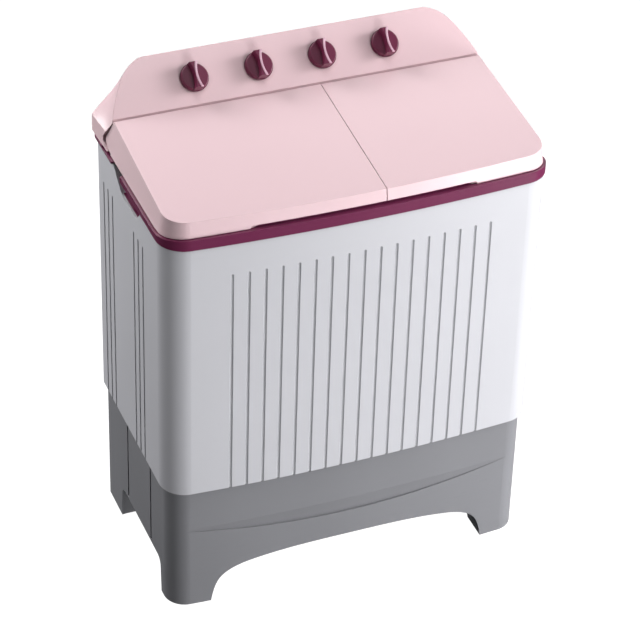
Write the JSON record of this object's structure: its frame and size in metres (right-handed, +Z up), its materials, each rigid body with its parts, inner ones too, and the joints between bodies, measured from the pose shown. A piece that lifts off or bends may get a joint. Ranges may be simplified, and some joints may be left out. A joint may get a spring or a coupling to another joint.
{
  "type": "twin tub washer",
  "caption": "Household twin tub washer: wash tub with pulsator and separate spin basket in one cabinet, hinged lids, raised rear control panel with knobs, arched base",
  "frame": {"origin": "centre of the footprint, on the floor", "axes": "+X to the right seen from the front, +Y to the rear, +Z up"},
  "size_m": [0.746, 0.427, 0.985],
  "materials": {
    "cabinet_white": "satin moulded",
    "base_grey": "fine grained",
    "frame_maroon": "gloss moulded",
    "lid_pink": "gloss moulded",
    "knob_maroon": "gloss moulded",
    "tub_white": "moulded",
    "pulsator_plastic": "moulded",
    "cover_clear": "satin",
    "rear_panel": "fine grained",
    "rubber_black": "moulded",
    "pipe_grey": "moulded",
    "fastener_steel": "zinc plated",
    "shaft_steel": "ground",
    "motor_paint": "baked",
    "rotor_steel": "turned",
    "pulley_alloy": "cast and turned",
    "drum_iron": "turned",
    "plated_steel": "zinc plated",
    "timer_plastic": "moulded",
    "capacitor_can": "drawn can"
  },
  "bodies": {
    "machine": {"back_cover": "rear_panel", "base": "base_grey", "bellows_seal": "rubber_black", "cabinet_shell": "cabinet_white", "capacitors": "capacitor_can", "casing_screws": "fastener_steel", "console_back_cover": "rear_panel", "console_housing": "lid_pink", "cord_gland": "rubber_black", "course_selector": "timer_plastic", "drain_pipe": "pipe_grey", "drain_selector": "timer_plastic", "drain_valve_body": "pipe_grey", "drain_valve_spring": "plated_steel", "drive_belt": "rubber_black", "motor_bracket": "plated_steel", "motor_springs": "plated_steel", "overflow_pipe": "pipe_grey", "rubber_feet": "rubber_black", "spin_drain_pipe": "pipe_grey", "spin_motor": "motor_paint", "spin_timer": "timer_plastic", "spin_tub": "tub_white", "spring_cups": "rubber_black", "top_deck": "frame_maroon", "top_frame": "frame_maroon", "wash_bearing_housing": "pulley_alloy", "wash_motor": "motor_paint", "wash_shaft_seal": "rubber_black", "wash_timer": "timer_plastic", "wash_tub": "tub_white", "water_inlet": "pipe_grey", "water_spout": "tub_white"},
    "wash_lid": {"wash_lid": "lid_pink", "wash_lid_hinge_pins": "fastener_steel"},
    "spin_lid": {"spin_lid": "lid_pink", "spin_lid_hinge_pins": "fastener_steel"},
    "safety_cover": {"spin_safety_cover": "cover_clear"},
    "wash_timer_knob": {"wash_timer_knob": "knob_maroon", "wash_timer_shaft": "shaft_steel"},
    "course_knob": {"course_selector_knob": "knob_maroon", "course_selector_shaft": "shaft_steel"},
    "drain_knob": {"drain_selector_knob": "knob_maroon", "drain_selector_shaft": "shaft_steel"},
    "spin_timer_knob": {"spin_timer_knob": "knob_maroon", "spin_timer_shaft": "shaft_steel"},
    "pulsator_drive": {"pulsator": "pulsator_plastic", "pulsator_screw": "fastener_steel", "wash_shaft": "shaft_steel", "wash_pulley": "pulley_alloy"},
    "wash_rotor": {"wash_motor_rotor": "rotor_steel", "motor_pulley": "pulley_alloy"},
    "spin_rotor": {"spin_basket": "pulsator_plastic", "spin_shaft": "shaft_steel", "brake_drum": "drum_iron", "spin_motor_rotor": "rotor_steel"},
    "brake": {"brake_lever": "plated_steel"},
    "drain_valve": {"drain_valve_plunger": "timer_plastic", "drain_pull_rod": "timer_plastic"},
    "filter": {"lint_filter": "tub_white"}
  },
  "joints": [
    {"name": "wash_lid_hinge", "type": "hinge", "parent": "machine", "child": "wash_lid", "pos_m": [-0.165, 0.114, 0.90714], "axis": [-1, 0, 0], "range_deg": [0, 98]},
    {"name": "spin_lid_hinge", "type": "hinge", "parent": "machine", "child": "spin_lid", "pos_m": [0.2, 0.114, 0.90714], "axis": [-1, 0, 0], "range_deg": [0, 98]},
    {"name": "safety_cover_hinge", "type": "hinge", "parent": "machine", "child": "safety_cover", "pos_m": [0.196, 0.113, 0.849], "axis": [-1, 0, 0], "range_deg": [0, 74]},
    {"name": "wash_timer_turn", "type": "hinge", "parent": "machine", "child": "wash_timer_knob", "pos_m": [-0.192, 0.15966, 0.94746], "axis": [0, 0.6691, -0.7431], "range_deg": [0, 300]},
    {"name": "course_turn", "type": "hinge", "parent": "machine", "child": "course_knob", "pos_m": [-0.067, 0.15966, 0.94746], "axis": [0, 0.6691, -0.7431], "range_deg": [-45, 45]},
    {"name": "drain_select_turn", "type": "hinge", "parent": "machine", "child": "drain_knob", "pos_m": [0.058, 0.15966, 0.94746], "axis": [0, 0.6691, -0.7431], "range_deg": [0, 90]},
    {"name": "spin_timer_turn", "type": "hinge", "parent": "machine", "child": "spin_timer_knob", "pos_m": [0.183, 0.15966, 0.94746], "axis": [0, 0.6691, -0.7431], "range_deg": [0, 300]},
    {"name": "wash_motor_turn", "type": "hinge", "parent": "machine", "child": "wash_rotor", "pos_m": [-0.0175, -0.02, 0.3], "axis": [0, 0, 1], "continuous": true},
    {"name": "pulsator_turn", "type": "hinge", "parent": "machine", "child": "pulsator_drive", "pos_m": [-0.1575, -0.02, 0.4], "axis": [0, 0, 1], "continuous": true},
    {"name": "spin_turn", "type": "hinge", "parent": "machine", "child": "spin_rotor", "pos_m": [0.196, -0.02, 0.4], "axis": [0, 0, 1], "continuous": true},
    {"name": "brake_swing", "type": "hinge", "parent": "machine", "child": "brake", "pos_m": [0.118, 0.02, 0.33], "axis": [0, 0, 1], "range_deg": [0, 5]},
    {"name": "drain_valve_lift", "type": "slide", "parent": "machine", "child": "drain_valve", "axis": [0, 0, 1], "range_m": [0, 0.012], "deforming": ["drain_valve_spring"]},
    {"name": "filter_lift_out", "type": "slide", "parent": "machine", "child": "filter", "axis": [0, 0, 1], "range_m": [0, 0.12]}
  ],
  "couplings": [
    {"joint": "safety_cover_hinge", "follows": "spin_lid_hinge", "ratio": 0.75},
    {"joint": "brake_swing", "follows": "spin_lid_hinge", "ratio": 0.05},
    {"joint": "pulsator_turn", "follows": "wash_motor_turn", "ratio": 0.25},
    {"joint": "drain_select_turn", "follows": "drain_valve_lift", "rad_per_m": 130.8}
  ]
}
